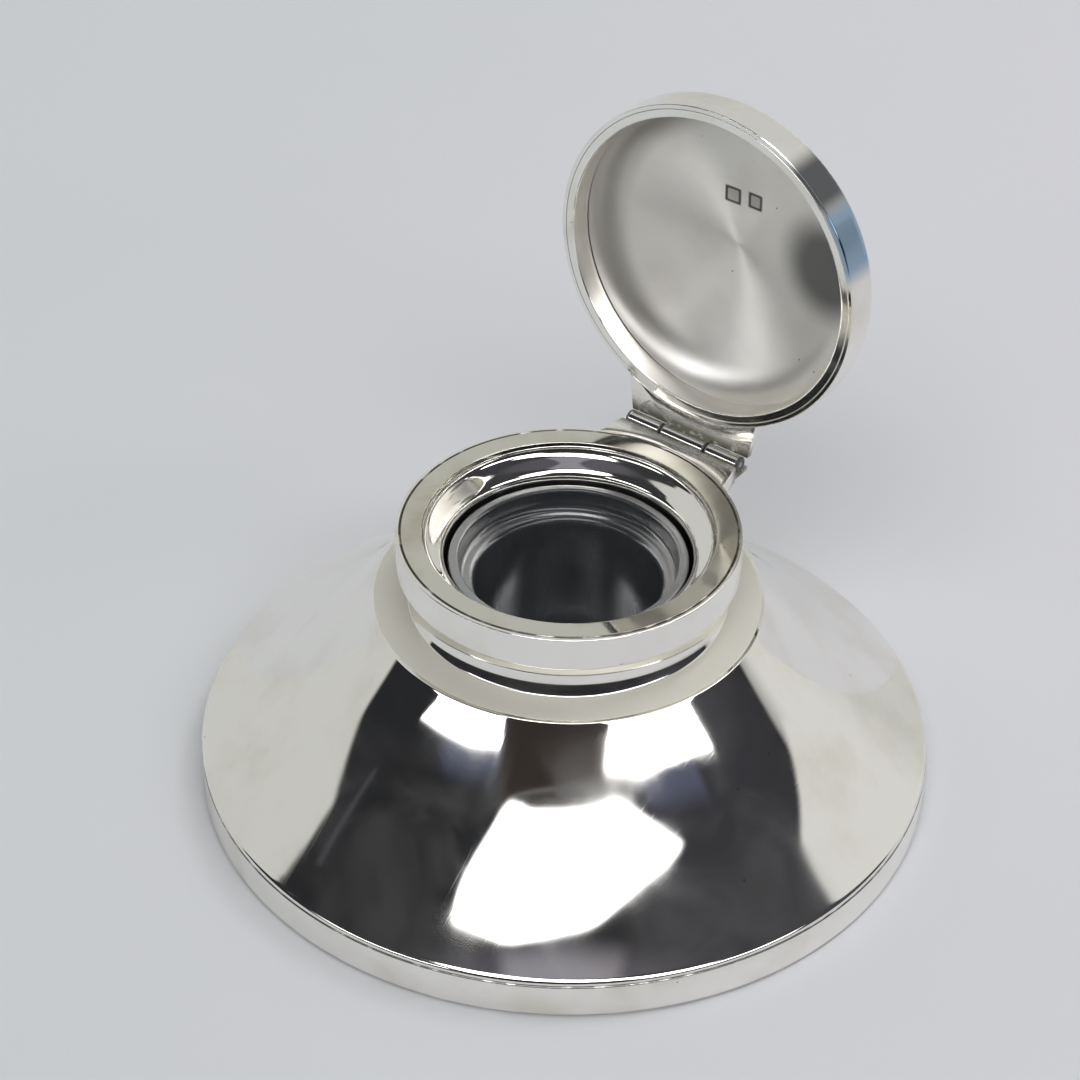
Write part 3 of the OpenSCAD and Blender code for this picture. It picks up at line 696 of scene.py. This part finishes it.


# %% [markdown]
# ## The finishes
#
# The body, neck, collar, band and lid are polished. The flat ledge round the neck and the lid's dished inside are
# satin. Joints hold a line of brown dirt, and the hinge is the least clean of all, with painted shade round its barrel.
# The lid's rim carries a painted reflection, and its inside has painted shade and a painted dark reflection.

# %% Silver finishes
polished_body = silver("polished_silver_body", rings=[(64.95, 6.9, 0.35, 0.8)])
polished_neck = silver("polished_silver_neck", rings=[(26.4, 45.0, 0.5, 0.7)],
                       matt_ledge=(27.75, 27.95))
polished_collar = silver("polished_silver_collar", tarnished=0.35, rings=[(29.08, 51.66, 0.3, 0.9)])
polished_flange = silver("polished_silver_flange", colour="DFDDD2", tarnish="B5AD93", tarnished=0.6,
                         rings=[(29.08, 51.66, 0.3, 0.9)])
polished_throat = silver("polished_silver_throat", rings=[(21.5, 45.6, 0.9, 0.5)])
polished_band = silver("polished_silver_band", tarnished=0.45, haze=0.14,
                       rings=[(65.0, 6.95, 0.4, 0.8), (65.0, 0.2, 0.5, 0.6)])
# the lid's rim wall carries a painted reflection, a pale blue band and a dark band
polished_lid = silver("polished_silver_lid", tarnished=0.4, haze=0.12, painted_reflection_band=True)
polished_bezel = silver("polished_silver_bezel", tarnished=0.4, polish=0.06, haze=0.16)
# the satin inside also carries painted shade in the curve on the left and a painted dark reflection on the right
satin_lid = silver("satin_silver_lid_inside", polish=0.5, haze=0.56, tarnished=0.15, brushed_and_painted_shade=0.004,
                   punched=[(-1.7, -9.6, 1.35, 1.35), (2.9, -9.9, 1.15, 1.3)])
# the hinge gets dirt and painted shade round its barrel
polished_hinge = silver("filed_silver_hinge", waver=0.01, polish=0.06, haze=0.2, tarnished=0.5, barrel_dirt_and_shade=0.95)
polished_knuckle = silver("polished_silver_knuckle", waver=0.01, polish=0.06, haze=0.16, tarnished=0.4,
                          seams=(4.76, 12))
steel_pin = silver("drawn_steel_pin", colour="A9AAAA", tarnish="6A665C", tarnished=0.6, polish=0.25, haze=0.4)

# %% [markdown]
# ## Glass, pitch, wood and baize
#
# The liner is pressed soda glass, dulled by years of dried ink, so it is smoky rather than
# clear. What it stands in is pitch, poured in hot to weight the foot: nearly black. The
# board is turned hardwood and the pad is woollen baize; both only show from below.

# %% Glass
pressed_glass = bpy.data.materials.new("pressed_soda_glass")
pressed_glass.use_nodes = True
tree = pressed_glass.node_tree
tree.nodes.clear()
where = add(tree, "TexCoord").outputs["Object"]
flow = add(tree, "TexNoise", {"Vector": where, "Scale": PER_METRE / 6, "Detail": 1})
flowed = add(tree, "Bump", {"Height": flow, "Strength": 1, "Distance": 0.006 * MM})
film = add(tree, "TexNoise", {"Vector": where, "Scale": PER_METRE / 8, "Detail": 4})
add(tree, "OutputMaterial", {"Surface": add(tree, "BsdfPrincipled", {
    "Base Color": add(tree, "Mix", {"Factor": film, "A": shade("2A2D31"), "B": shade("484B4D")}, data_type="RGBA"),
    "Transmission Weight": 0.35, "IOR": 1.52, "Roughness": ramp(tree, film, 0.3, 0.7, 0.19, 0.26),
    "Normal": flowed})})

# %% Pitch
poured_pitch = bpy.data.materials.new("poured_pitch")
poured_pitch.use_nodes = True
tree = poured_pitch.node_tree
tree.nodes.clear()
where = add(tree, "TexCoord").outputs["Object"]
lumps = add(tree, "TexNoise", {"Vector": where, "Scale": PER_METRE / 5, "Detail": 4})
pitch_hue = add(tree, "Mix", {"Factor": lumps, "A": shade("1A1917"), "B": shade("2E2C28")}, data_type="RGBA")
lumpy = add(tree, "Bump", {"Height": lumps, "Strength": 1, "Distance": 0.2 * MM})
add(tree, "OutputMaterial", {"Surface": add(tree, "BsdfPrincipled", {
    "Base Color": pitch_hue, "Roughness": 0.55, "Normal": lumpy})})

# %% Turned wood
turned_wood = bpy.data.materials.new("turned_mahogany")
turned_wood.use_nodes = True
tree = turned_wood.node_tree
tree.nodes.clear()
where = add(tree, "TexCoord").outputs["Object"]
along = add(tree, "Mapping", {"Vector": where, "Scale": (PER_METRE / 2.5, PER_METRE / 40, PER_METRE / 2.5)})
figure = add(tree, "TexNoise", {"Vector": along, "Scale": 1, "Detail": 5, "Distortion": 0.8})
wood_hue = add(tree, "Mix", {"Factor": figure, "A": shade("4A2B1A"), "B": shade("8A5A38")}, data_type="RGBA")
add(tree, "OutputMaterial", {"Surface": add(tree, "BsdfPrincipled", {
    "Base Color": wood_hue, "Roughness": 0.5,
    "Normal": add(tree, "Bump", {"Height": figure, "Strength": 1, "Distance": 0.05 * MM})})})

# %% Baize
green_baize = bpy.data.materials.new("woollen_baize")
green_baize.use_nodes = True
tree = green_baize.node_tree
tree.nodes.clear()
where = add(tree, "TexCoord").outputs["Object"]
nap = add(tree, "TexNoise", {"Vector": where, "Scale": PER_METRE / 0.6, "Detail": 4})
worn = add(tree, "TexNoise", {"Vector": where, "Scale": PER_METRE / 25, "Detail": 3})
mottled = add(tree, "Math", {0: nap, 1: worn}, operation="MULTIPLY")
baize_hue = add(tree, "Mix", {"Factor": add(tree, "MapRange", {"Value": mottled, "From Min": 0.12, "From Max": 0.4}),
                              "A": shade("1E3B26"), "B": shade("3F6A45")}, data_type="RGBA")
add(tree, "OutputMaterial", {"Surface": add(tree, "BsdfPrincipled", {
    "Base Color": baize_hue, "Roughness": 0.95, "Sheen Weight": 0.4, "Sheen Roughness": 0.5,
    "Normal": add(tree, "Bump", {"Height": nap, "Strength": 1, "Distance": 0.15 * MM})})})

# %% [markdown]
# ## Putting it together
#
# Every new piece takes the place of a imported node, rides on a body, and takes its finish from the materials listed
# with it. The board and the pitch keep their imported shapes and only get a better finish.

# %% Assign the pieces
PIECES = [
    (foot_band, "foot_band", "body", "silver_band", [polished_band]),
    (body_shell, "body_shell", "body", "silver_body", [polished_body]),
    (neck_ring, "neck_ring", "body", "silver_neck", [polished_neck]),
    (collar_band, "collar_band", "body", "silver_collar", [polished_collar]),
    (collar_top, "collar_top", "body", "silver_collar", [polished_flange]),
    (throat_ring, "throat_ring", "body", "silver_collar", [polished_throat]),
    (hinge_plate, "hinge_plate", "body", "silver_hinge", [polished_hinge]),
    (knuckle_left, "knuckle_left", "body", "silver_knuckle", [polished_knuckle]),
    (knuckle_right, "knuckle_right", "body", "silver_knuckle", [polished_knuckle]),
    (hinge_pin, "hinge_pin", "body", "pin", [steel_pin]),
    (cloth_pad, "cloth_pad", "body", "cloth", [green_baize]),
    (lid_dome, "lid_dome", "lid", "silver_lid", [polished_lid, satin_lid]),
    (lid_bezel, "lid_bezel", "lid", "silver_bezel", [polished_bezel]),
    (lid_leaf, "lid_leaf", "lid", "silver_hinge", [polished_hinge]),
    (knuckle_middle, "knuckle_middle", "lid", "silver_knuckle", [polished_knuckle]),
    (glass_liner, "glass_liner", "liner", "liner_glass", [pressed_glass]),
]
for piece, node, body, slot, materials in PIECES:
    for material in materials:
        piece.data.materials.append(material)
    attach(piece, body)
    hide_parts(node)
for node, material in (("pitch_filling", poured_pitch), ("base_board", turned_wood)):
    for holder in bpy.data.objects[node].material_slots:
        holder.material = material
